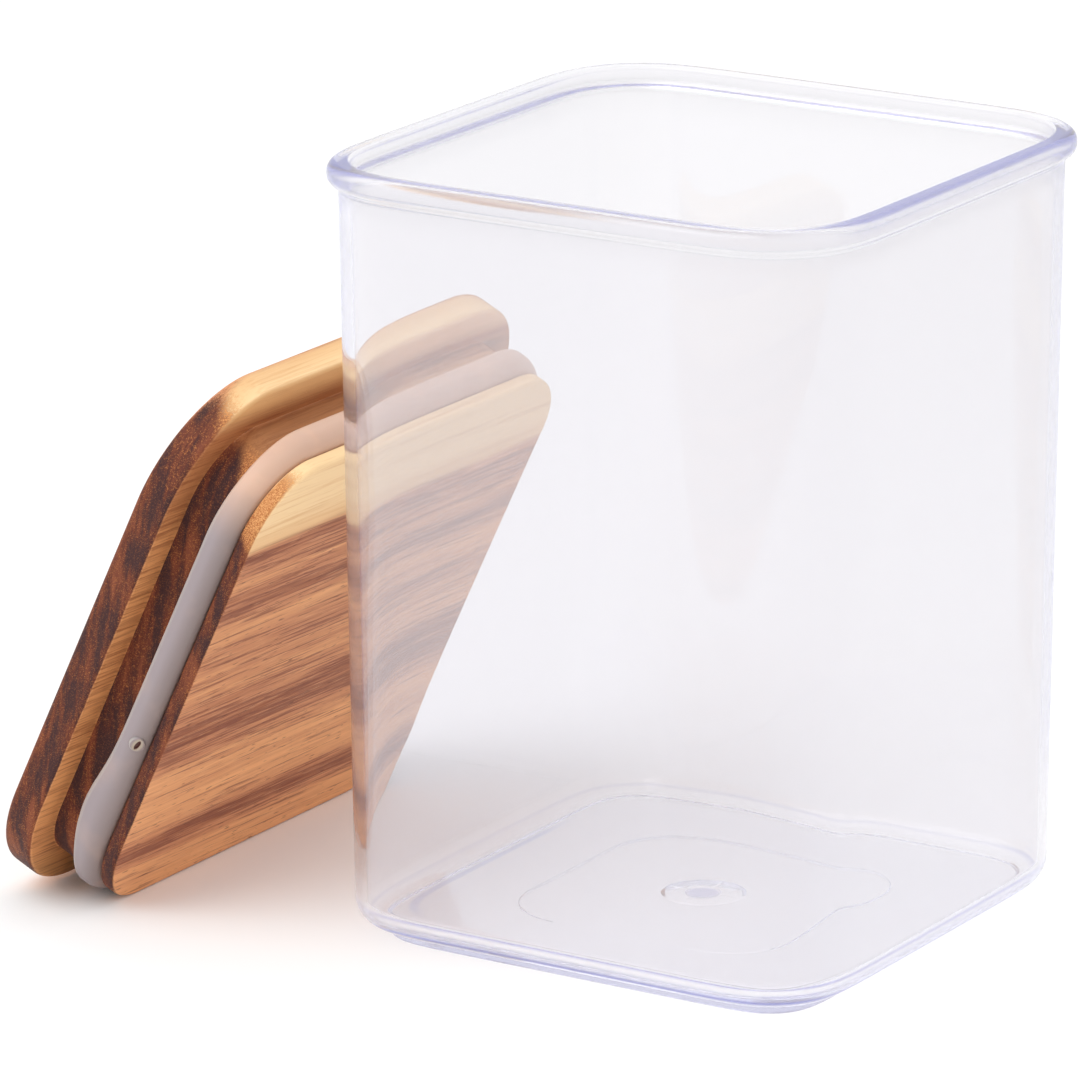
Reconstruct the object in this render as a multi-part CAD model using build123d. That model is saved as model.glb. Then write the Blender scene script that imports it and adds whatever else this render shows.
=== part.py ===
from build123d import *
from math import radians, tan
import os

# Square storage jar: a clear moulded jar, a plug lid cut from one board, and the soft hollow
# seal that sits in a groove round the lid's plug.
# Sizes are in millimetres. The origin is the middle of the jar's foot, with +Z up.
# The lid is off the jar: it stands on the ground beside the jar's -X wall and leans on it,
# with its plug towards the jar and its grain along Y.

# Jar
JAR_HEIGHT = 132.0
RIM_WIDTH = 100.0
RIM_CORNER = 20.0
RIM_BAND = 4.0
RIM_PROUD = 1.9
RIM_ROUND = 1.8
MOUTH_EASE = 0.6
WALL = 2.0
WALL_DRAFT = 0.65
FLOOR = 2.4
FLOOR_EASE = 1.7
BASE_ROUND = 4.8

# Foot under the jar, with a shallow panel and the mould's gate in its middle
FOOT_INSET = 5.8
FOOT_DROP = 1.9
FOOT_EASE = 0.5
PANEL_WIDTH = 51.0
PANEL_CORNER = 12.0
PANEL_DEPTH = 0.6
GATE_WELL_RADIUS = 6.7
GATE_WELL_DEPTH = 0.5
GATE_RADIUS = 2.6
GATE_PROUD = 0.4

# Lid board
LID_OVERHANG = 0.6
FLANGE_THICKNESS = 6.0
FLANGE_TOP_EASE = 1.2
FLANGE_SEAT_EASE = 0.8
PLUG_DEPTH = 13.8
PLUG_CORNER_TIGHTER = 1.6
PLUG_EASE = 0.6
GROOVE_DEPTH = 1.6

# Seal: the lead round lets it slide into the mouth, the vent lets its air out
SEAL_DROP = 5.9
SEAL_HEIGHT = 5.1
SEAL_SKIN = 1.0
SEAL_TOP_EASE = 0.7
SEAL_LEAD_ROUND = 3.3
VENT_RADIUS = 0.7
VENT_FLARE = 0.7
VENT_FROM_MIDDLE = 10.0

# Fits
PLUG_CLEARANCE = 1.3
SEAL_SQUEEZE = 0.8
SEAL_SEAT_GAP = 0.2
LEAN_GAP = 0.3

# How the lid leans: its tilt from upright, and how far it stands towards -Y
LEAN_ANGLE = 25.6
LEAN_OFFSET = 10.3

# What follows for the jar's wall, its mouth and its foot
slope = tan(radians(WALL_DRAFT))
wall_width = RIM_WIDTH - 2 * RIM_PROUD
wall_corner = RIM_CORNER - RIM_PROUD
mouth_width = wall_width - 2 * WALL
mouth_corner = wall_corner - WALL
floor_top = FOOT_DROP + FLOOR
base_inset = (JAR_HEIGHT - FOOT_DROP) * slope + FOOT_INSET
foot_width = wall_width - 2 * base_inset
foot_corner = wall_corner - base_inset

# What follows for the lid, which plugs into the mouth
lid_width = RIM_WIDTH + 2 * LID_OVERHANG
lid_corner = RIM_CORNER + LID_OVERHANG
plug_inset = PLUG_CLEARANCE + PLUG_DEPTH * slope
plug_width = mouth_width - 2 * plug_inset
plug_corner = mouth_corner - plug_inset - PLUG_CORNER_TIGHTER
groove_width = plug_width - 2 * GROOVE_DEPTH
groove_corner = plug_corner - GROOVE_DEPTH
seal_low = -(SEAL_DROP + SEAL_HEIGHT)
seal_width = mouth_width + 2 * SEAL_SQUEEZE
seal_corner = mouth_corner + SEAL_SQUEEZE


def slab(width, corner, low, high):
    """Square slab with rounded corners, from the height low to the height high."""
    outline = Pos(0, 0, low) * RectangleRounded(width, width, corner)
    return extrude(outline, amount=high - low)


def drafted_block(width, corner, low, high):
    """Square block, width across at its top, that leans in by the wall draft on its way down."""
    outline = Pos(0, 0, high) * RectangleRounded(width, width, corner)
    return extrude(outline, amount=high - low, dir=(0, 0, -1), taper=WALL_DRAFT)


def low_edge(block):
    """The edge round a block's lowest face."""
    return block.faces().sort_by(Axis.Z)[0].edges()


def top_edge(block):
    """The edge round a block's highest face."""
    return block.faces().sort_by(Axis.Z)[-1].edges()


def jar_outside():
    """Outer form of the jar: drafted wall, rounded base, rim band and foot."""
    wall = drafted_block(wall_width, wall_corner, FOOT_DROP, JAR_HEIGHT)
    wall = fillet(low_edge(wall), BASE_ROUND)
    rim = slab(RIM_WIDTH, RIM_CORNER, JAR_HEIGHT - RIM_BAND, JAR_HEIGHT)
    rim = fillet(low_edge(rim) + top_edge(rim), RIM_ROUND)
    foot = slab(foot_width, foot_corner, 0, FOOT_DROP + FLOOR / 2)
    foot = chamfer(low_edge(foot), FOOT_EASE)
    return wall + rim + foot


def jar_inside():
    """Hollow of the jar, with an eased edge where its wall meets the floor."""
    hollow = drafted_block(mouth_width, mouth_corner, floor_top, JAR_HEIGHT)
    return chamfer(low_edge(hollow), FLOOR_EASE)


def foot_recess():
    """What is taken out under the foot: the panel and the gate's well, round the gate's stub."""
    panel = slab(PANEL_WIDTH, PANEL_CORNER, 0, PANEL_DEPTH)
    well = extrude(Circle(GATE_WELL_RADIUS), amount=PANEL_DEPTH + GATE_WELL_DEPTH)
    stub_low = PANEL_DEPTH + GATE_WELL_DEPTH - GATE_PROUD
    stub = Pos(0, 0, stub_low) * extrude(Circle(GATE_RADIUS), amount=GATE_PROUD)
    return panel + well - stub


def make_jar():
    """The jar, moulded in one piece, with an eased edge round the inside of its mouth."""
    jar = jar_outside() - jar_inside() - foot_recess()
    mouth = jar.faces().sort_by(Axis.Z)[-1].inner_wires()[0]
    return chamfer(mouth.edges(), MOUTH_EASE)


def make_lid():
    """The lid as it lies closed: its flange seats at height 0 and its plug hangs below."""
    flange = slab(lid_width, lid_corner, 0, FLANGE_THICKNESS)
    flange = chamfer(top_edge(flange), FLANGE_TOP_EASE)
    flange = chamfer(low_edge(flange), FLANGE_SEAT_EASE)
    plug = slab(plug_width, plug_corner, -PLUG_DEPTH, 0)
    plug = chamfer(low_edge(plug), PLUG_EASE)
    groove_low = seal_low - SEAL_SEAT_GAP
    groove_high = SEAL_SEAT_GAP - SEAL_DROP
    around = slab(lid_width, lid_corner, groove_low, groove_high)
    core = slab(groove_width, groove_corner, groove_low, groove_high)
    return flange + plug - (around - core)


def make_seal():
    """The seal round the plug, placed as make_lid places the lid: hollow, and open inwards."""
    skin = slab(seal_width, seal_corner, seal_low, -SEAL_DROP)
    skin = chamfer(top_edge(skin), SEAL_TOP_EASE)
    skin = fillet(low_edge(skin), SEAL_LEAD_ROUND)
    hollow_width = seal_width - 2 * SEAL_SKIN
    hollow_corner = seal_corner - SEAL_SKIN
    hollow = slab(hollow_width, hollow_corner, seal_low + SEAL_SKIN, -SEAL_DROP - SEAL_SKIN)
    hollow = chamfer(low_edge(hollow), SEAL_LEAD_ROUND - SEAL_SKIN)
    seat_width = groove_width + 2 * SEAL_SEAT_GAP
    seat_corner = groove_corner + SEAL_SEAT_GAP
    seat = slab(seat_width, seat_corner, seal_low, -SEAL_DROP)
    return skin - hollow - seat - vent()


def vent():
    """The flared vent through the seal's skin on the -Y side."""
    middle = Pos(-VENT_FROM_MIDDLE, -seal_width / 2, (seal_low - SEAL_DROP) / 2) * Rot(90, 0, 0)
    bore = Cylinder(VENT_RADIUS, 4 * SEAL_SKIN)
    flare = Cone(VENT_RADIUS, VENT_RADIUS + VENT_FLARE, SEAL_SKIN)
    return middle * (bore + flare)


def lean(lid, seal):
    """Move the closed lid and its seal to where they lean on the jar's -X wall."""
    tilt = Rot(0, LEAN_ANGLE - 90, 0)
    lowest = min((tilt * piece).bounding_box().min.Z for piece in (lid, seal))
    edge = (tilt * Pos(plug_width / 2, 0, -PLUG_DEPTH)).position
    edge_height = edge.Z - lowest
    wall_face = -wall_width / 2 + (JAR_HEIGHT - edge_height) * slope
    place = Pos(wall_face - LEAN_GAP - edge.X, -LEAN_OFFSET, -lowest) * tilt
    return place * lid, place * seal


def export(name, piece):
    """Write one piece as parts/NAME.step."""
    piece.label = name
    export_step(piece, f"parts/{name}.step")


os.makedirs("parts", exist_ok=True)
jar = make_jar()
lid, seal = lean(make_lid(), make_seal())
export("jar", jar)
export("lid", lid)
export("seal", seal)
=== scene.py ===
from math import asin, cos, exp, pi, radians, sin, tan

import bmesh
import bpy
from bpy.props import FloatProperty, FloatVectorProperty, IntProperty, PointerProperty
from mathutils import Matrix, Vector, noise


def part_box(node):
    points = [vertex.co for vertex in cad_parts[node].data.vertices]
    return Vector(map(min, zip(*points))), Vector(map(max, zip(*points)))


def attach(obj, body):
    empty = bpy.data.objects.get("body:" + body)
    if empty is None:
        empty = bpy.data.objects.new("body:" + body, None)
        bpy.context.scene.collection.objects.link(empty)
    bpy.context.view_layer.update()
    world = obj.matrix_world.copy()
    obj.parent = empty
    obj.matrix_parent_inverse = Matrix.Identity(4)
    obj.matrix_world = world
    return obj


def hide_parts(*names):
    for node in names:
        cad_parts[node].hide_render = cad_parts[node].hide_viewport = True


bl_info = {
    "name": "Storage jar with a board lid",
    "version": (1, 0, 0),
    "blender": (4, 5, 0),
    "location": "3D View > Sidebar > Jar",
    "description": "Makes a clear square jar, its wooden plug lid and the plug's soft seal",
    "category": "Add Mesh",
}

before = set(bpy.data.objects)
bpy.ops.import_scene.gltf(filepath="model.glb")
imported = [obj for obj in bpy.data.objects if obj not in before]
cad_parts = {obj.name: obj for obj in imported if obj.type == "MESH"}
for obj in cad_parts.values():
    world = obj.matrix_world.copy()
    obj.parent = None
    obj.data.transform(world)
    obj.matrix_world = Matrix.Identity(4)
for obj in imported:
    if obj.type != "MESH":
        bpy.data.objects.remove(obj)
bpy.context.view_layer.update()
jar_low, jar_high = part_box("jar")

# Lengths in the profiles below are millimetres. A piece is made in metres.
MM = 0.001

# Eased edges of the lid: its top and seat, the lip of its plug, and that lip as the CAD has it
TOP_EASE = 1.2
SEAT_EASE = 0.8
LIP_EASE = 0.8
CAD_LIP_EASE = 0.6

# How far the seal keeps off the groove's floor
SEAT_GAP = 0.2

# Half length and half width of the vent's slit and of the painted highlight ring round it, as
# shares of its boss
VENT_SLIT = (0.68, 0.28)
VENT_HIGHLIGHT_RING = (0.86, 0.60)


def shade(red, green, blue):
    """A colour as a picture gives it, 0 to 255, in Blender's linear values."""
    parts = [part / 255 for part in (red, green, blue)]
    return tuple(p / 12.92 if p < 0.04045 else ((p + 0.055) / 1.055) ** 2.4 for p in parts)


# What a user may change


def length(name, description, default):
    """A length that a user may change."""
    return FloatProperty(
        name=name, description=description, default=default, min=0.0, precision=4,
        unit="LENGTH", subtype="DISTANCE",
    )


def tint(name, description, red, green, blue):
    """A colour that a user may change."""
    return FloatVectorProperty(
        name=name, description=description, default=shade(red, green, blue), size=3,
        min=0.0, max=1.0, subtype="COLOR",
    )


class JarSettings(bpy.types.PropertyGroup):
    """Sizes and colours of the clear jar."""

    rim_width: length("Rim width", "Width of the rim band", jar_high.x - jar_low.x)
    height: length("Height", "Height of the jar", jar_high.z - jar_low.z)
    rim_corner: length("Rim corner", "Corner radius of the rim band", 0.020)
    rim_band: length("Rim band", "Height of the rim band", 0.004)
    rim_proud: length("Rim stands out", "How far the rim band stands out from the wall", 0.0019)
    wall: length("Wall", "Thickness of the wall", 0.002)
    base_round: length("Base round", "Radius where the wall runs into the base", 0.0048)
    draft: FloatProperty(
        name="Draft", description="How far the wall leans in on its way down",
        default=radians(0.65), subtype="ANGLE", unit="ROTATION",
    )
    corner_steps: IntProperty(
        name="Corner steps", description="Faces round each corner", default=40, min=4, max=64
    )
    colour: tint("Colour", "Colour of the plastic's surface", 244, 243, 245)
    edge_colour: tint("Edge colour", "Colour of light that leaves at the edges", 190, 194, 234)
    # Colour of the painted violet lines of refracted light, and of light that has gone round
    # inside
    light_line_colour: tint("Line colour", "Thin lines where the moulding turns", 122, 126, 206)
    clearness: FloatProperty(
        name="Clearness", description="Share of the light that passes the surface",
        default=0.932, min=0.0, max=1.0, subtype="FACTOR",
    )
    depth_colour: tint("Depth colour", "The plastic where it is thick", 120, 124, 214)
    depth_tint: FloatProperty(
        name="Depth tint", description="How strongly the plastic tints light per metre",
        default=4.5, min=0.0,
    )


class LidSettings(bpy.types.PropertyGroup):
    """Sizes and colours of the wooden lid."""

    width: length("Width", "Width of the flange", 0.1012)
    corner: length("Corner", "Corner radius of the flange", 0.0206)
    thickness: length("Flange thickness", "Thickness of the flange", 0.006)
    plug_width: length("Plug width", "Width of the plug's lip", 0.08929)
    plug_corner: length("Plug corner", "Corner radius of the plug", 0.01304)
    plug_depth: length("Plug depth", "How far the plug stands out from the flange", 0.0138)
    groove: length("Groove depth", "Depth of the groove that holds the seal", 0.0016)
    lean: FloatProperty(
        name="Lean", description="How far the lid leans from upright",
        default=radians(25.6), subtype="ANGLE", unit="ROTATION",
    )
    tan_colour: tint("Tan", "Light heartwood", 240, 174, 118)
    brown_colour: tint("Brown", "Streaks of the heartwood", 158, 95, 65)
    straw_colour: tint("Straw", "Sapwood band", 252, 216, 164)
    end_colour: tint("End grain", "Wood cut across its grain", 98, 46, 32)
    speck_colour: tint("Specks", "Bright specks of the end grain", 192, 122, 66)


class SealSettings(bpy.types.PropertyGroup):
    """Sizes and colours of the soft seal."""

    width: length("Width", "Width across the seal", 0.0938)
    corner: length("Corner", "Corner radius of the seal", 0.0169)
    drop: length("Drop", "Distance from the flange to the seal", 0.0059)
    height: length("Height", "Height of the seal along the plug", 0.0051)
    lead_round: length("Lead round", "Radius that leads the seal into the mouth", 0.0033)
    bulge: length("Bulge", "How far the soft upper edge stands up near its lower end", 0.0015)
    vent_radius: length("Vent radius", "Radius of the raised boss round the vent's slit", 0.0014)
    vent_from_middle: length("Vent place", "Distance from the side's middle to the vent", 0.0109)
    vent_drop: length("Vent drop", "Distance from the flange to the vent", 0.0097)
    waver: length("Waver", "How far the soft ring strays from its line", 0.00022)
    colour: tint("Colour", "Colour of the soft seal", 161, 149, 152)
    # Painted shade where the seal turns to the lip
    lip_shade_colour: tint("Lip side", "Colour where the seal turns to the lip", 138, 122, 118)
    warm_colour: tint("Warm colour", "Where wood shows through the seal", 224, 184, 158)


class StageSettings(bpy.types.PropertyGroup):
    """Floor, light and camera."""

    floor_colour: tint("Floor", "Colour of the floor", 250, 250, 250)
    sky: FloatProperty(name="Sky", description="Strength of the even light", default=0.94, min=0.0)
    key: FloatProperty(
        name="Key lamp", description="Power of the large lamp in watts", default=9.0, min=0.0
    )


class StorageJarSettings(bpy.types.PropertyGroup):
    """All settings of the storage jar."""

    jar: PointerProperty(type=JarSettings)
    lid: PointerProperty(type=LidSettings)
    seal: PointerProperty(type=SealSettings)
    stage: PointerProperty(type=StageSettings)


# Ring by ring modelling


def arc(half, height, radius, start, end, steps=8):
    """Points (half width, height) on an arc, between two angles in degrees from outwards."""
    angles = [radians(start + (end - start) * i / steps) for i in range(steps + 1)]
    return [(half + radius * cos(a), height + radius * sin(a)) for a in angles]


def straight(start, end, steps):
    """Points on a straight run, without its start."""
    shares = [(i + 1) / steps for i in range(steps)]
    return [tuple(a + (b - a) * share for a, b in zip(start, end)) for share in shares]


def rounded_square(bm, half, corner, height, steps, up=True, soft=0):
    """One square face with rounded corners, which looks up or down.

    With soft, each side is cut up and its points smoothed that many times, so that the corners
    blend into the sides.
    """
    before = set(bm.faces)
    made = bmesh.ops.create_grid(
        bm, x_segments=1, y_segments=1, size=half, matrix=Matrix.Translation((0, 0, height))
    )
    bmesh.ops.bevel(
        bm, geom=made["verts"], offset=corner, offset_type="OFFSET", affect="VERTICES",
        segments=steps, profile=0.5, material=-1,
    )
    face = (set(bm.faces) - before).pop()
    if soft:
        sides = sorted(face.edges, key=lambda edge: edge.calc_length())[-4:]
        bmesh.ops.subdivide_edges(bm, edges=sides, cuts=70)
        face = (set(bm.faces) - before).pop()
        for _ in range(soft):
            bmesh.ops.smooth_vert(
                bm, verts=face.verts, factor=0.5, use_axis_x=True, use_axis_y=True
            )
    if not up:
        bmesh.ops.reverse_faces(bm, faces=[face])
    return face


def follow(bm, face, line):
    """Grow rings inwards from the edge of a face, along a line of (half width, height) points."""
    face.normal_update()
    side = 1 if face.normal.z > 0 else -1
    for (half, height), (next_half, next_height) in zip(line, line[1:]):
        bmesh.ops.inset_individual(
            bm, faces=[face], thickness=half - next_half, depth=(next_height - height) * side,
            use_even_offset=True,
        )
    return face


def open_face(bm, face):
    """Take a face away and give the edges round the hole."""
    edges = list(face.edges)
    bm.faces.remove(face)
    return edges


def join(bm, ring, other):
    """Close the gap between two rings of edges."""
    bmesh.ops.bridge_loops(bm, edges=list(ring) + list(other))


def finish_piece(bm, name, place, finish, body, node):
    """Turn a bmesh in millimetres into a finished piece that stands for a node of the frame."""
    sharp = radians(35)
    bmesh.ops.remove_doubles(bm, verts=bm.verts, dist=0.0005)
    bmesh.ops.recalc_face_normals(bm, faces=bm.faces)
    bmesh.ops.transform(bm, matrix=place @ Matrix.Scale(MM, 4), verts=bm.verts)
    for face in bm.faces:
        face.smooth = True
    for edge in bm.edges:
        edge.smooth = edge.calc_face_angle(0.0) < sharp
    mesh = bpy.data.meshes.new(name)
    bm.to_mesh(mesh)
    bm.free()
    mesh.materials.append(finish)
    piece = bpy.data.objects.new(name, mesh)
    bpy.context.scene.collection.objects.link(piece)
    even = piece.modifiers.new("flat faces stay flat", "WEIGHTED_NORMAL")
    even.keep_sharp = True
    even.weight = 90
    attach(piece, body)
    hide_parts(node)


def lid_place(sizes):
    """Where the closed lid goes when it leans on the jar, in metres.

    The CAD's lid stands on the chamfer of its lip, and its box ends at the chamfer of its top.
    """
    turn = Matrix.Rotation(sizes.lean - pi / 2, 4, "Y")
    low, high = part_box("lid")
    foot = turn @ Vector((-sizes.plug_width / 2, 0, CAD_LIP_EASE * MM - sizes.plug_depth))
    back = turn @ Vector((TOP_EASE * MM - sizes.width / 2, 0, sizes.thickness))
    return Matrix.Translation((low.x - back.x, (low.y + high.y) / 2, low.z - foot.z)) @ turn


def vent_place(sizes):
    """Where the vent sits on the seal's lead round, in the lid's frame and in millimetres."""
    lead = sizes.lead_round
    below = sizes.vent_drop - (sizes.drop + sizes.height - lead)
    tilt = asin(below / lead)
    out = Vector((0, -cos(tilt), -sin(tilt)))

    # The slit lies nearly level along the seal and climbs a little
    level, climb = 0.97, 0.24
    along = Vector((-level, -climb * sin(tilt), climb * cos(tilt))).normalized()
    turn = Matrix((along, out.cross(along), out)).transposed().to_4x4()
    skin = sizes.width / 2 - lead + lead * cos(tilt)
    middle = Vector((-sizes.vent_from_middle, -skin, -sizes.vent_drop))
    return Matrix.Translation(middle / MM) @ turn


# Finishes


class Value:
    """One socket of a finish, which can be used in a sum."""

    def __init__(self, finish, socket):
        self.finish = finish
        self.socket = socket

    def other(self, name):
        """Another output of the same node."""
        return Value(self.finish, self.socket.node.outputs[name])

    def __add__(self, other):
        return self.finish.maths("ADD", self, other)

    def __sub__(self, other):
        return self.finish.maths("SUBTRACT", self, other)

    def __rsub__(self, other):
        return self.finish.maths("SUBTRACT", other, self)

    def __mul__(self, other):
        return self.finish.maths("MULTIPLY", self, other)

    def __truediv__(self, other):
        return self.finish.maths("DIVIDE", self, other)

    def __pow__(self, other):
        return self.finish.maths("POWER", self, other)

    def __abs__(self):
        return self.finish.maths("ABSOLUTE", self)

    __radd__ = __add__
    __rmul__ = __mul__


class Finish:
    """The nodes of a material or a world, with the one way in which they are made."""

    def __init__(self, owner):
        self.owner = owner
        owner.use_nodes = True
        self.nodes = owner.node_tree.nodes
        self.links = owner.node_tree.links
        self.nodes.clear()

    def node(self, kind, settings=None, values=None, out=0):
        """Make a node: its settings first, then the values or links of its sockets."""
        made = self.nodes.new(kind)
        for key, value in (settings or {}).items():
            if key == "stops":
                self.set_stops(made.color_ramp, value)
            else:
                setattr(made, key, value)
        for key, value in (values or {}).items():
            if isinstance(value, Value):
                self.links.new(value.socket, made.inputs[key])
            else:
                made.inputs[key].default_value = value
        return Value(self, made.outputs[out]) if made.outputs else None

    def set_stops(self, ramp, stops):
        """Give a ramp its stops, each a place and a grey level or a colour."""
        while len(ramp.elements) < len(stops):
            ramp.elements.new(1.0)
        for element, (place, value) in zip(ramp.elements, stops):
            element.position = place
            element.color = self.colour([value] * 3 if isinstance(value, float) else value)

    def maths(self, operation, *values):
        """A sum of values."""
        return self.node("ShaderNodeMath", {"operation": operation}, dict(enumerate(values)))

    def ramp(self, value, stops):
        """A level or colour that follows a value."""
        return self.node("ShaderNodeValToRGB", {"stops": stops}, {0: value})

    def step(self, value, low, high):
        """0 below low, 1 above high, and smooth between them."""
        return self.node(
            "ShaderNodeMapRange", {"interpolation_type": "SMOOTHSTEP"},
            {"Value": value, "From Min": low, "From Max": high},
        )

    def fall(self, value, low, high):
        """1 below low, 0 above high, and smooth between them."""
        return 1.0 - self.step(value, low, high)

    def line(self, value, middle, half, fade):
        """1 as far as half from the middle, and 0 from fade on."""
        return self.fall(abs(value - middle), half, fade)

    def mix(self, share, first, second):
        """A mix of two colours."""
        values = {0: share, 6: self.colour(first), 7: self.colour(second)}
        return self.node("ShaderNodeMix", {"data_type": "RGBA"}, values, 2)

    def colour(self, value):
        """A colour's four numbers, or the socket that gives it."""
        return value if isinstance(value, Value) else (*value[:3], 1.0)

    def blend(self, share, first, second):
        """A mix of two shaders."""
        return self.node("ShaderNodeMixShader", None, {0: share, 1: first, 2: second})

    def transparent(self, colour):
        """A shader that lets light straight through and tints it."""
        return self.node("ShaderNodeBsdfTransparent", None, {"Color": self.colour(colour)})

    def split(self, vector):
        """The three numbers of a vector."""
        first = self.node("ShaderNodeSeparateXYZ", None, {0: vector})
        return first, first.other(1), first.other(2)

    def normal(self):
        """The three numbers of the way that the surface faces."""
        return self.split(self.node("ShaderNodeNewGeometry", None, None, "Normal"))

    def along(self, parts, axis):
        """How far three numbers reach along an axis."""
        return parts[0] * axis.x + parts[1] * axis.y + parts[2] * axis.z

    def oval(self, far, wide, far_half, wide_half):
        """How far out a place is, with 1 on the edge of an oval."""
        return ((far / far_half) ** 2.0 + (wide / wide_half) ** 2.0) ** 0.5

    def local(self, place):
        """The three numbers, in millimetres, of a point in the frame of a leaning piece."""
        values = {
            "Vector": self.node("ShaderNodeTexCoord", None, None, "Object"),
            "Location": place.to_translation(),
            "Rotation": place.to_euler(),
            "Scale": (MM, MM, MM),
        }
        return self.split(self.node("ShaderNodeMapping", {"vector_type": "TEXTURE"}, values))

    def clouds(self, x, y, z, detail=2.0, roughness=0.5):
        """Soft noise at a place, about one cloud to each unit."""
        place = self.node("ShaderNodeCombineXYZ", None, {0: x, 1: y, 2: z})
        values = {"Vector": place, "Scale": 1.0, "Detail": detail, "Roughness": roughness}
        return self.node("ShaderNodeTexNoise", None, values)

    def surface(self, values):
        """End with the surface's own shader."""
        shader = self.node("ShaderNodeBsdfPrincipled", None, values)
        self.node("ShaderNodeOutputMaterial", None, {"Surface": shader})
        return self.owner


def clear_plastic(settings):
    """Clear moulded plastic with a violet tint where it is thick."""
    f = Finish(bpy.data.materials.new("clear_plastic"))
    x, y, z = f.split(f.node("ShaderNodeTexCoord", None, None, "Object"))
    haze = f.clouds(x * 38.0, y * 38.0, z * 24.0, 2.0)
    east, north, height = x / MM, y / MM, z / MM
    base_height, floor_height, edge_height, foot_reach = 3.35, 4.3, 4.8, 37.8

    # Painted light: a violet line where light is bent round the base, weaker on the -X and +Y
    # sides, and the gate's mark in the same violet
    base_light_line = f.line(height, base_height, 0.08, 0.62)
    base_light_line = base_light_line * (f.step(east - north, -20.0, 20.0) * 0.65 + 0.25)
    gate = f.fall((east * east + north * north) ** 0.5, 2.1, 2.7) * f.fall(height, 1.2, 1.8)

    # Fainter painted lines of refracted light inside: the floor's +X edge, and the foot as it
    # shows through on the -X side
    inside = f.fall(f.maths("MAXIMUM", abs(east), abs(north)), 44.2, 44.8)
    floor_light_line = f.line(height, edge_height, 0.15, 0.45) * inside * f.step(east, 28.0, 40.0)
    reach = (abs(east) ** 8.0 + abs(north) ** 8.0) ** 0.125
    foot_light_line = f.line(reach, foot_reach, 0.3, 1.0) * f.line(height, floor_height, 0.1, 0.3)
    foot_light_line = foot_light_line * f.fall(east, -37.0, -30.0) * f.fall(north, 8.0, 24.0)
    # Painted light: the lines take the colour of light that leaves at the edges
    faint = floor_light_line * 0.4 + foot_light_line * 0.95
    tinted = f.mix(faint, settings.colour, settings.edge_colour)
    tinted = f.mix(base_light_line + gate * 0.6, tinted, settings.light_line_colour)

    # The rim band and the foot are less polished than the walls
    polish = haze * 0.012 + 0.004
    soft_rim = f.step(height, 122.0, 126.5) * 0.18
    soft_foot = f.fall(height, 4.0, 7.0) * 0.08
    shader = f.node("ShaderNodeBsdfPrincipled", None, {
        "Base Color": tinted,
        "Roughness": polish + (soft_rim + soft_foot),
        "IOR": 1.53,
        "Transmission Weight": settings.clearness,
    })

    # Light that has gone round inside the plastic leaves it violet, and is tinted only once
    bare = f.transparent((0.99, 0.99, 0.995))
    deep = f.transparent(settings.light_line_colour)
    pale = f.transparent(settings.edge_colour)
    clear = f.transparent(shade(236, 237, 247))
    violet = f.blend(f.step(height, 118.0, 130.0) * 0.3, deep, pale)
    violet = f.blend(f.step(height, 14.0, 28.0), clear, violet)
    ray = f.node("ShaderNodeLightPath", None, None, "Is Shadow Ray")
    again = f.maths("GREATER_THAN", ray.other("Transparent Depth"), 0.5)
    violet = f.blend(again, violet, bare)
    gone_round = f.maths("GREATER_THAN", ray.other("Glossy Depth"), 2.5)
    shader = f.blend(gone_round, shader, violet)

    # Lamplight, and light on its way from the floor or the lid, passes as if through thin air
    passing = f.maths("MAXIMUM", ray, ray.other("Is Diffuse Ray"))
    f.node("ShaderNodeOutputMaterial", None, {
        "Surface": f.blend(passing, shader, bare),
        "Volume": f.node("ShaderNodeVolumeAbsorption", None, {
            "Color": f.colour(settings.depth_colour),
            "Density": settings.depth_tint,
        }),
    })
    return f.owner


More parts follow.
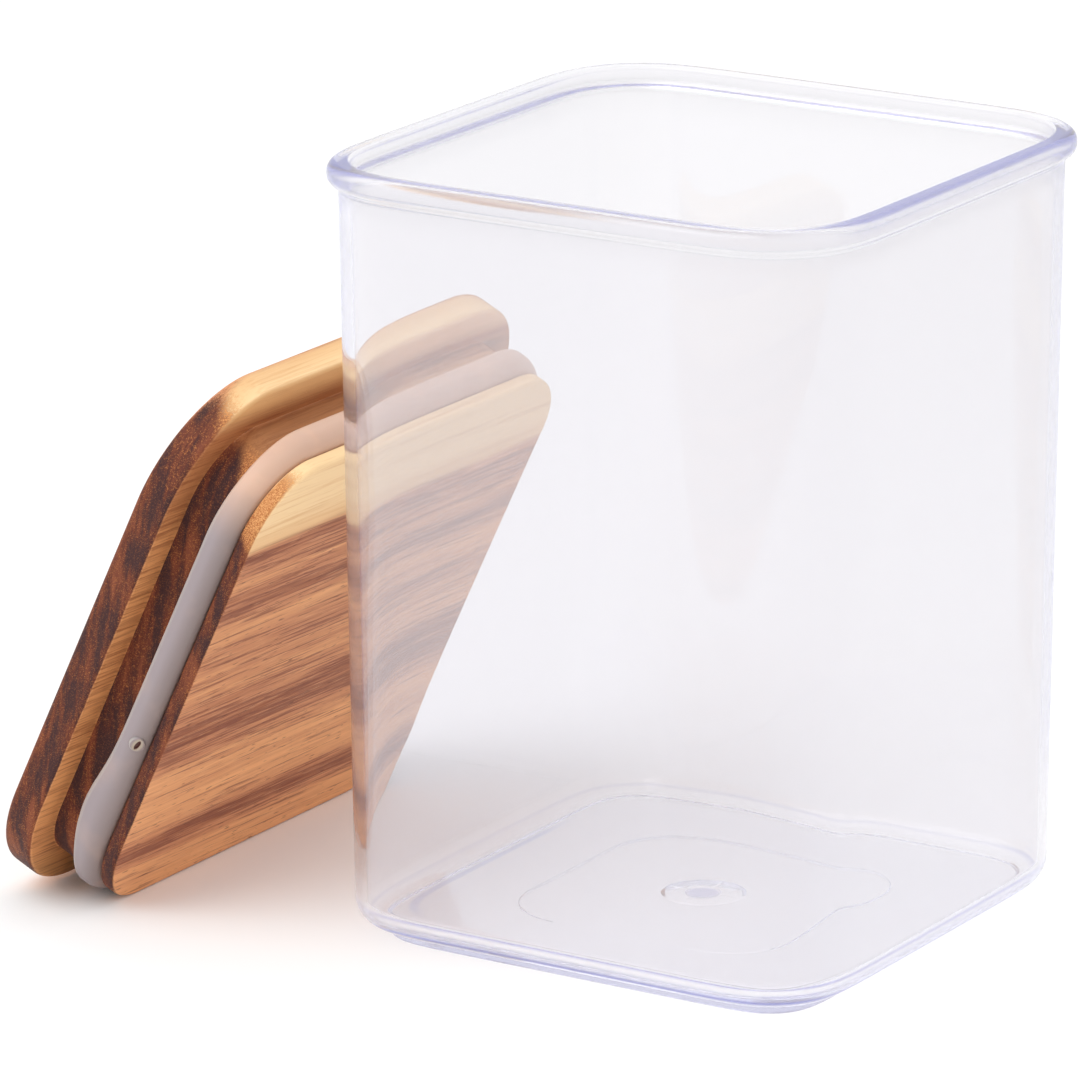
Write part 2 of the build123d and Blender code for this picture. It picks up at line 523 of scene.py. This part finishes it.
def board_wood(settings, place):
    """Oiled board: streaked heartwood, a straw sapwood band, and dark speckled end grain."""
    f = Finish(bpy.data.materials.new("board_wood"))
    x, y, z = f.local(place)
    drift = f.clouds(x / 24.0, y / 120.0, z / 24.0) - 0.5
    ripple = f.clouds(x / 5.0 + 7.0, y / 45.0, z / 5.0) - 0.5
    streaks = f.clouds(x / 1.3, y / 60.0, z / 1.3, 4.0, 0.6)
    lines = f.clouds(x * 1.9 + y * 0.05, y / 22.0, z * 1.9, 3.0, 0.65)
    fibres = f.clouds(x * 4.6, y / 7.0, z * 4.6, 2.0, 0.6)
    pores = f.step(f.clouds(x * 2.6 + 3.0, y / 3.4, z * 2.6, 1.0), 0.66, 0.76)

    # Heartwood on the long grain: broad bands that cross the board, and fine dark lines
    ring = x + z * 0.41 + y * 0.02 + drift * 7.0 + ripple * 2.6
    bands = f.ramp(ring / 110.0 + 0.5, [
        (0.04, 0.86), (0.09, 0.80), (0.135, 0.30), (0.17, 0.62), (0.20, 0.86), (0.28, 0.84),
        (0.335, 0.34), (0.39, 0.40), (0.44, 0.72), (0.50, 0.58), (0.565, 0.78), (0.61, 0.36),
        (0.65, 0.70), (0.70, 0.40), (0.745, 0.72), (0.78, 0.26), (0.82, 0.60),
    ])
    light = bands * 0.60 + streaks * 0.66 + fibres * 0.16 - 0.17
    heart = f.ramp(light, [
        (0.14, shade(92, 52, 42)), (0.36, settings.brown_colour),
        (0.55, shade(200, 134, 94)), (0.84, settings.tan_colour),
    ])
    lined = f.step(lines + (0.62 - bands) * 0.26, 0.50, 0.62)
    heart = f.mix(lined * 0.66, heart, shade(126, 70, 54))
    heart = f.mix(f.step(fibres, 0.56, 0.74) * 0.30, heart, shade(246, 190, 140))
    heart = f.mix(pores * 0.6, heart, shade(92, 52, 40))

    # Sapwood: beyond a slanting edge, pale with fine tan lines
    edge = x - (z + settings.plug_depth / MM) * 1.05 + ripple * 1.6
    sap = f.step(edge, 29.4, 31.6)
    tan_streaks = f.step(streaks + fibres * 0.3, 0.62, 0.90) * 0.6
    straw = f.mix(tan_streaks, settings.straw_colour, shade(222, 168, 112))
    straw = f.mix(f.step(lines, 0.54, 0.72) * 0.2, straw, shade(200, 142, 92))
    straw = f.mix(f.fall(edge, 31.0, 36.0) * 0.5, straw, shade(226, 170, 112))
    long_grain = f.mix(sap, heart, straw)

    # The flange's seat and the neck below it are amber with brown lines, browner at the upper end
    normal = f.normal()
    facing = f.along(normal, place.to_3x3().col[2])
    seat_or_neck = f.maths("MAXIMUM", f.fall(facing, -0.9, -0.1), f.fall(z, -0.6, 0.0))
    ledge = f.step(z, -6.5, -5.5) * f.fall(z, 1.2, 3.4) * seat_or_neck
    brown_lines = f.step(lines + fibres * 0.3, 0.58, 0.84) * 0.8
    amber = f.mix(brown_lines, shade(224, 154, 96), shade(146, 84, 46))
    brown_streaks = f.step(streaks + drift * 0.5, 0.50, 0.68) * 0.55
    amber = f.mix(brown_streaks, amber, shade(138, 78, 44))
    # Browner towards the upper end, less so on the +Y side
    browner_upper_end = f.step(x + drift * 16.0, 24.0, 44.0) * (0.75 - f.step(y, -12.0, 10.0) * 0.45)
    amber = f.mix(browner_upper_end, amber, shade(150, 88, 50))

    # Its very end is pale, and painted light makes it peach from the middle on to the +Y side and
    # on the neck next to the seat
    amber = f.mix(f.step(x, 44.5, 49.0) * 0.75, amber, shade(232, 178, 116))
    neck_end = f.fall(z, -4.5, -2.0) * f.step(x, 40.0, 43.0) * 0.6
    painted_peach_light = f.maths("MAXIMUM", f.step(x, 44.0, 47.5), neck_end)
    amber = f.mix(painted_peach_light * f.step(y, -10.0, 6.0) * 0.8, amber, shade(250, 204, 160))
    low_end = f.fall(x + ripple * 4.0, -47.0, -40.0) * 0.4
    amber = f.mix(low_end, amber, shade(150, 112, 62))
    long_grain = f.mix(ledge * 0.86, long_grain, amber)

    # End grain: rings that run at a slant through the board, speckled with gold
    along_ring = x * 0.97 + z * 0.26
    through_ring = z * 0.97 - x * 0.26
    patches = f.clouds(along_ring / 12.0, y / 60.0, through_ring / 2.2 + 3.0, 3.0, 0.6)
    specks = f.clouds(x * 5.4, y / 3.0, z * 5.4, 2.0, 0.7)
    grit = f.clouds(x * 1.5 + 5.0, y / 3.0, z * 1.5, 3.0, 0.7)
    dark = f.mix(f.step(patches, 0.42, 0.60) * 0.95, settings.end_colour, shade(60, 34, 36))
    dark = f.mix(f.fall(patches, 0.34, 0.48) * 0.6, dark, shade(140, 76, 50))
    gold = f.step(specks, 0.50, 0.68) * (0.8 - f.step(patches, 0.44, 0.62) * 0.5)
    dark = f.mix(gold * f.step(grit, 0.30, 0.60), dark, settings.speck_colour)

    # Where the sapwood is cut across, pale, and darker next to the heartwood
    speckled = f.step(specks, 0.40, 0.62)
    pale = f.mix(speckled, shade(184, 112, 62), shade(228, 168, 108))
    inner = f.mix(speckled, shade(138, 74, 44), shade(216, 148, 88))
    pale = f.mix(f.fall(edge, 30.0, 37.0), pale, inner)
    across = f.mix(sap, dark, pale)

    # End grain shows where the surface faces along the grain, with a ragged edge
    cut = f.step(abs(normal[1]) + (specks - 0.5) * 0.5 + ripple * 0.3, 0.34, 0.60)
    colour = f.mix(cut, long_grain, across)
    relief = f.node("ShaderNodeBump", None, {
        "Strength": 0.22, "Distance": 0.0003,
        "Height": fibres * 0.7 - lined * 0.3 + specks * cut - pores * 0.5,
    })
    return f.surface({
        "Base Color": colour,
        "Roughness": 0.62 - streaks * 0.12 + cut * 0.06,
        "Normal": relief,
        "Specular IOR Level": 0.25,
    })


def soft_silicone(settings, place):
    """Milky silicone with painted shade towards the lip and painted light towards the flange, and
    warm at its upper end.
    """
    f = Finish(bpy.data.materials.new("soft_silicone"))
    x, y, z = f.local(place)
    cloud = f.clouds(x / 9.0, y / 9.0, z / 9.0, 3.0)
    facing = f.along(f.normal(), place.to_3x3().col[2])
    # Painted light and shade by the way the surface faces: pale where it faces the flange, dark
    # where it turns to the lip
    colour = f.ramp(facing * 0.5 + cloud * 0.06 + 0.47, [
        (0.06, settings.lip_shade_colour), (0.50, settings.colour), (0.92, shade(198, 196, 190)),
    ])

    # A pale line of light along the upper edge, and wood that shows through at the upper end
    grazing = f.node("ShaderNodeLayerWeight", None, {"Blend": 0.5}, "Facing")
    pale_edge = f.step(grazing, 0.6, 0.95) * f.step(facing, 0.0, 0.5) * 0.8
    colour = f.mix(pale_edge, colour, shade(222, 221, 222))
    warmth = f.step(x, 29.0, 44.0) * 0.85 + f.step(cloud, 0.50, 0.70) * 0.12
    colour = f.mix(warmth, colour, settings.warm_colour)

    # The vent: a boss with a painted highlight ring on its raised rim and painted shade in its
    # slit
    vent = vent_place(settings)
    middle, turned = vent.to_translation(), vent.to_3x3()
    offset = (x - middle.x, y - middle.y, z - middle.z)
    far, wide = f.along(offset, turned.col[0]), f.along(offset, turned.col[1])
    boss = settings.vent_radius / MM
    ring = f.oval(far, wide, boss * VENT_HIGHLIGHT_RING[0], boss * VENT_HIGHLIGHT_RING[1])
    # Painted highlight on the boss's rim
    colour = f.mix(f.fall(ring, 0.75, 1.25) * 0.9, colour, shade(180, 164, 144))
    slit = f.oval(far, wide, boss * VENT_SLIT[0], boss * VENT_SLIT[1])
    # Painted shade in the recessed slit
    colour = f.mix(f.fall(slit, 0.8, 1.15), colour, shade(92, 44, 34))
    return f.surface({
        "Base Color": colour,
        "Roughness": cloud * 0.14 + 0.34,
        "Subsurface Weight": 0.25,
        "Subsurface Radius": (0.004, 0.003, 0.003),
        "Subsurface Scale": 0.4,
    })


# Pieces


class JAR_OT_body(bpy.types.Operator):
    """Make the clear jar"""

    bl_idname = "storage_jar.body"
    bl_label = "Jar"

    def execute(self, context):
        s = context.scene.storage_jar.jar
        rim, top, band = s.rim_width / MM / 2, s.height / MM, s.rim_band / MM
        wall_half = (s.rim_width / 2 - s.rim_proud) / MM
        wall, base = s.wall / MM, s.base_round / MM
        slope = tan(s.draft)
        rim_round, mouth_ease = band * 0.45, 0.6
        foot_drop, floor_top = 1.9, 4.3
        foot_inset, foot_crease, foot_ease, foot_flat = 5.8, 0.3, 0.5, 34.5
        bm = bmesh.new()

        # Both runs of rings start halfway up the rim band. Their corners start tighter, by what
        # the soft blend into the sides adds.
        blend = 1.7
        start, corner = top - band / 2, s.rim_corner / MM - blend
        outer, inner = (
            rounded_square(bm, rim, corner, start, s.corner_steps, up=up, soft=80)
            for up in (False, True)
        )

        # Outside: round under the rim band, through a hollow round and down to the foot
        turn = 65
        hollow = (rim - wall_half) / (1 - cos(radians(turn))) - rim_round
        hollow_out = rim - rim_round + (rim_round + hollow) * cos(radians(turn))
        hollow_up = top - band + rim_round - (rim_round + hollow) * sin(radians(turn))
        wall_end = foot_drop + base
        wall_low = wall_half - (top - wall_end) * slope
        foot = wall_half - (top - foot_drop) * slope - foot_inset
        line = [(rim, start)]
        line += arc(rim - rim_round, top - band + rim_round, rim_round, 0, -turn)
        line += arc(hollow_out, hollow_up, hollow, 180 - turn, 180, 6)[1:]
        line += straight(line[-1], (wall_low, wall_end), 8)
        line += arc(wall_low - base, wall_end, base, 0, -90, 12)[1:]
        line += [(foot + foot_crease, foot_drop), (foot, foot_drop - foot_crease)]
        line += arc(foot - foot_ease, foot_ease, foot_ease, 0, -90, 4) + [(foot_flat, 0.0)]
        foot_ring = open_face(bm, follow(bm, outer, line))
        self.underside(bm, foot_ring, s.corner_steps)

        # Inside: over the rim, into the mouth and down to the floor
        mouth = wall_half - wall
        inner_round = base - wall
        inner_end = floor_top + inner_round
        inner_low = mouth - (top - inner_end) * slope
        line = [(rim, start)]
        line += arc(rim - rim_round, top - rim_round, rim_round, 0, 90)
        line += arc(mouth + mouth_ease, top - mouth_ease, mouth_ease, 90, 180, 4)
        line += straight(line[-1], (inner_low, inner_end), 8)
        line += arc(inner_low - inner_round, inner_end, inner_round, 0, -90, 10)[1:]
        follow(bm, inner, line)
        finish_piece(bm, "clear_jar", Matrix(), clear_plastic(s), "vessel", "jar")
        return {"FINISHED"}

    def underside(self, bm, foot_ring, steps):
        """The shallow panel under the foot, the gate's well in it and the gate's stub."""
        half, corner, deep, flat = 25.5, 12.0, 0.6, 16.5
        panel = rounded_square(bm, half, corner, 0.0, steps, up=False, soft=8)
        join(bm, foot_ring, panel.edges)
        follow(bm, panel, [
            (half, 0.0), (half - 0.08, 0.1), (half - 0.12, deep - 0.1), (half - 0.2, deep),
            (flat, deep),
        ])
        well, well_top, stub, stub_low = 6.7, 1.1, 2.6, 0.7
        gate = rounded_square(bm, well, well - 0.2, deep, steps + 70, up=False)
        join(bm, open_face(bm, panel), gate.edges)
        follow(bm, gate, [
            (well, deep), (well - 0.2, deep + 0.06), (well - 0.6, well_top - 0.06),
            (well - 0.8, well_top), (stub + 0.1, well_top), (stub, well_top - 0.1),
            (stub - 0.1, stub_low + 0.05), (stub - 0.3, stub_low),
        ])


class JAR_OT_lid(bpy.types.Operator):
    """Make the wooden lid where it leans on the jar"""

    bl_idname = "storage_jar.lid"
    bl_label = "Lid"

    def execute(self, context):
        s = context.scene.storage_jar.lid
        steps = context.scene.storage_jar.jar.corner_steps
        half, corner, thick = s.width / MM / 2, s.corner / MM, s.thickness / MM
        plug, plug_corner, depth = s.plug_width / MM / 2, s.plug_corner / MM, s.plug_depth / MM
        slimmer, neck_top, nick = 0.7, -0.15, 0.2
        neck, neck_corner = plug - slimmer, plug_corner - slimmer
        groove, groove_high, groove_low = plug - s.groove / MM, -5.7, -11.2
        bm = bmesh.new()

        # Flange: its top, then its seat as far as the plug
        line = [(half, thick / 2)] + arc(half - TOP_EASE, thick - TOP_EASE, TOP_EASE, 0, 90)
        follow(bm, rounded_square(bm, half, corner, thick / 2, steps), line)
        line = [(half, thick / 2)] + arc(half - SEAT_EASE, SEAT_EASE, SEAT_EASE, 0, -90, 6)
        line += [(neck + 0.9, 0.0)]
        seat = follow(bm, rounded_square(bm, half, corner, thick / 2, steps, up=False), line)
        seat_ring = open_face(bm, seat)

        # Plug: neck, groove, lip and end face
        start = rounded_square(bm, neck, neck_corner, neck_top, steps, up=False)
        join(bm, seat_ring, start.edges)
        line = [(neck, neck_top), (neck, groove_high + nick), (neck - nick, groove_high)]
        line += [(groove, groove_high), (groove, groove_low)]
        line += [(plug - nick, groove_low), (plug, groove_low - nick)]
        line += arc(plug - LIP_EASE, LIP_EASE - depth, LIP_EASE, 0, -90, 6)
        follow(bm, start, line)
        place = lid_place(s)
        finish_piece(bm, "board_lid", place, board_wood(s, place), "stopper", "lid")
        return {"FINISHED"}


class JAR_OT_seal(bpy.types.Operator):
    """Make the soft seal round the lid's plug"""

    bl_idname = "storage_jar.seal"
    bl_label = "Seal"

    def execute(self, context):
        s = context.scene.storage_jar.seal
        lid = context.scene.storage_jar.lid
        steps = context.scene.storage_jar.jar.corner_steps
        half, corner, lead = s.width / MM / 2, s.corner / MM, s.lead_round / MM
        high = -s.drop / MM
        low = high - s.height / MM
        ease = 0.8
        bm = bmesh.new()

        # The skin, up over its eased edge and down round its lead, from a ring just above the lead
        start = low + lead + 0.5
        inside = (lid.plug_width / 2 - lid.groove) / MM + SEAT_GAP
        line = [(half, start)] + arc(half - ease, high - ease, ease, 0, 90)
        line += [(inside + 1.0, high)]
        upper = rounded_square(bm, half, corner, start, steps)
        upper_ring = open_face(bm, follow(bm, upper, line))
        line = [(half, start)] + arc(half - lead, low + lead, lead, 0, -80, 14)
        lower = rounded_square(bm, half, corner, start, steps, up=False)
        lower_ring = open_face(bm, follow(bm, lower, line))

        # The side towards the groove keeps clear of it, with tighter corners than the outside
        inside_corner = (lid.plug_corner - lid.groove) / MM + SEAT_GAP
        inside_top = high - 0.1
        seat = rounded_square(bm, inside, inside_corner, inside_top, steps)
        join(bm, upper_ring, seat.edges)
        follow(bm, seat, [(inside, inside_top), (inside, line[-1][1])])
        join(bm, open_face(bm, seat), lower_ring)
        self.waver(bm, s, inside, low, high)
        self.vent(bm, s)
        place = lid_place(lid)
        finish_piece(bm, "soft_seal", place, soft_silicone(s, place), "stopper", "seal")
        return {"FINISHED"}

    def waver(self, bm, s, inside, low, high):
        """Let the ring stray inwards, and its upper edge up and down, as a soft ring does."""
        long_edges = [edge for edge in bm.edges if edge.calc_length() > 20.0]
        bmesh.ops.subdivide_edges(bm, edges=long_edges, cuts=23, use_grid_fill=True)
        turn = (s.width / 2 - s.corner) / MM
        held, fade = 0.8, 0.7
        wave, least = 17, 0.02
        bulge_at, bulge_reach, sag = -26, 8, 0.3
        side_from, side_fade = 28, 14
        for vert in bm.verts:
            place = vert.co

            # How free the skin is: not at all in the groove, and fully outside it
            reach = Vector((max(abs(place.x) - turn, 0), max(abs(place.y) - turn, 0))).length
            free = min(max(turn + reach - inside - held, 0) / fade, 1)
            stray = (noise.noise(Vector((place.x / wave, place.y / wave, 0.4))) + 1) / 2
            shift = stray * s.waver / MM + least

            # The upper edge stands up at the bulge and sags elsewhere, on the -Y side only
            rise = s.bulge / MM * exp(-((place.x - bulge_at) / bulge_reach) ** 2) - sag
            side = min(max((-place.y - side_from) / side_fade, 0), 1)
            share = max(place.z - low, 0) / (high - low) * side
            place -= Vector((place.x, place.y, 0)).normalized() * shift * free
            place.z += rise * share * free

    def vent(self, bm, s):
        """A low round boss with a slit in it, sunk a little into the seal."""
        radius = s.vent_radius / MM
        low, high, deep = -0.6, 0.3, 0.4
        known = set(bm.verts)
        at_low = Matrix.Translation((0, 0, low))
        slot = Matrix.Translation((0, 0, high)) @ Matrix.Diagonal((*VENT_SLIT, 1.0, 1.0))
        side, under, slit = (
            bmesh.ops.create_circle(
                bm, cap_ends=True, segments=48, radius=radius, matrix=place
            )["verts"][0].link_faces[0]
            for place in (at_low, at_low, slot)
        )
        bmesh.ops.reverse_faces(bm, faces=[under])
        boss = follow(bm, side, [
            (radius, low), (radius - 0.02, 0.0),
            (radius - 0.16, high - 0.06), (radius - 0.3, high),
        ])
        join(bm, open_face(bm, boss), slit.edges)
        follow(bm, slit, [(0.3, high), (0.24, high - 0.1), (0.2, high - deep)])
        made = [vert for vert in bm.verts if vert not in known]
        bmesh.ops.transform(bm, matrix=vent_place(s), verts=made)


# Stage


class JAR_OT_stage(bpy.types.Operator):
    """Make the floor, the light and the camera"""

    bl_idname = "storage_jar.stage"
    bl_label = "Stage"

    def execute(self, context):
        s = context.scene.storage_jar.stage
        scene = context.scene
        scene.view_settings.view_transform = "Standard"
        self.floor(s)
        self.light(scene, s)
        self.camera(scene)
        return {"FINISHED"}

    def floor(self, s):
        """A plain pale floor that goes on beyond the view, a hair below the jar."""
        half, drop = 9.0, 0.1 * MM
        bm = bmesh.new()
        bmesh.ops.create_grid(
            bm, x_segments=8, y_segments=8, size=half, matrix=Matrix.Translation((0, 0, -drop))
        )
        mesh = bpy.data.meshes.new("floor")
        bm.to_mesh(mesh)
        bm.free()
        f = Finish(bpy.data.materials.new("floor_paint"))
        mesh.materials.append(f.surface({
            "Base Color": f.colour(s.floor_colour), "Roughness": 0.9, "Specular IOR Level": 0.0,
        }))
        floor = bpy.data.objects.new("floor", mesh)
        bpy.context.scene.collection.objects.link(floor)

    def light(self, scene, s):
        """Even light from all round, and one large soft lamp overhead."""
        scene.world = bpy.data.worlds.new("studio")
        f = Finish(scene.world)
        ray = f.node("ShaderNodeLightPath", None, None, "Is Camera Ray")
        seen = f.maths("MAXIMUM", ray, ray.other("Is Transmission Ray"))
        seen = f.maths("MAXIMUM", seen, ray.other("Is Glossy Ray"))
        white = {"Value": seen, "To Min": s.sky, "To Max": 1.0}
        strength = f.node("ShaderNodeMapRange", None, white)
        sky = f.node("ShaderNodeBackground", None, {"Color": (1, 1, 1, 1), "Strength": strength})
        f.node("ShaderNodeOutputWorld", None, {"Surface": sky})
        lamp = bpy.data.lights.new("key", "AREA")
        lamp.shape = "DISK"
        lamp.size = 1.4
        lamp.energy = s.key
        key = bpy.data.objects.new("key", lamp)
        place, target = Vector((-0.45, -0.75, 1.3)), Vector((-0.03, 0, 0.05))
        turn = (target - place).to_track_quat("-Z", "Y").to_matrix().to_4x4()
        key.matrix_world = Matrix.Translation(place) @ turn
        scene.collection.objects.link(key)

    def camera(self, scene):
        """The camera, about 32 degrees round from the front and 16 degrees up."""
        turn, rise, roll = radians(32.26), radians(16.19), radians(-0.26)
        aside, above, away = -0.02741, 0.06207, 1.3098
        back = Vector((sin(turn) * cos(rise), -cos(turn) * cos(rise), sin(rise)))
        level = Vector((cos(turn), sin(turn), 0))
        upright = back.cross(level)
        right = level * cos(roll) + upright * sin(roll)
        up = upright * cos(roll) - level * sin(roll)
        place = right * aside + up * above + back * away
        camera = bpy.data.objects.new("camera", bpy.data.cameras.new("camera"))
        camera.data.lens = 260.16
        camera.matrix_world = Matrix((
            (right.x, up.x, back.x, place.x),
            (right.y, up.y, back.y, place.y),
            (right.z, up.z, back.z, place.z),
            (0, 0, 0, 1),
        ))
        scene.collection.objects.link(camera)
        scene.camera = camera


class JAR_PT_panel(bpy.types.Panel):
    """Lists the pieces and their settings."""

    bl_label = "Storage jar"
    bl_space_type = "VIEW_3D"
    bl_region_type = "UI"
    bl_category = "Jar"

    def draw(self, context):
        settings = context.scene.storage_jar
        rows = (
            (settings.jar, JAR_OT_body),
            (settings.lid, JAR_OT_lid),
            (settings.seal, JAR_OT_seal),
            (settings.stage, JAR_OT_stage),
        )
        for group, operator in rows:
            box = self.layout.box()
            for name in group.bl_rna.properties.keys():
                if name not in ("rna_type", "name"):
                    box.prop(group, name)
            box.operator(operator.bl_idname)


CLASSES = (
    JarSettings, LidSettings, SealSettings, StageSettings, StorageJarSettings,
    JAR_OT_body, JAR_OT_lid, JAR_OT_seal, JAR_OT_stage, JAR_PT_panel,
)


def register():
    for made in CLASSES:
        bpy.utils.register_class(made)
    bpy.types.Scene.storage_jar = PointerProperty(type=StorageJarSettings)


def unregister():
    del bpy.types.Scene.storage_jar
    for made in reversed(CLASSES):
        bpy.utils.unregister_class(made)


def main():
    register()
    bpy.ops.storage_jar.body()
    bpy.ops.storage_jar.lid()
    bpy.ops.storage_jar.seal()
    bpy.ops.storage_jar.stage()


if __name__ == "__main__":
    main()
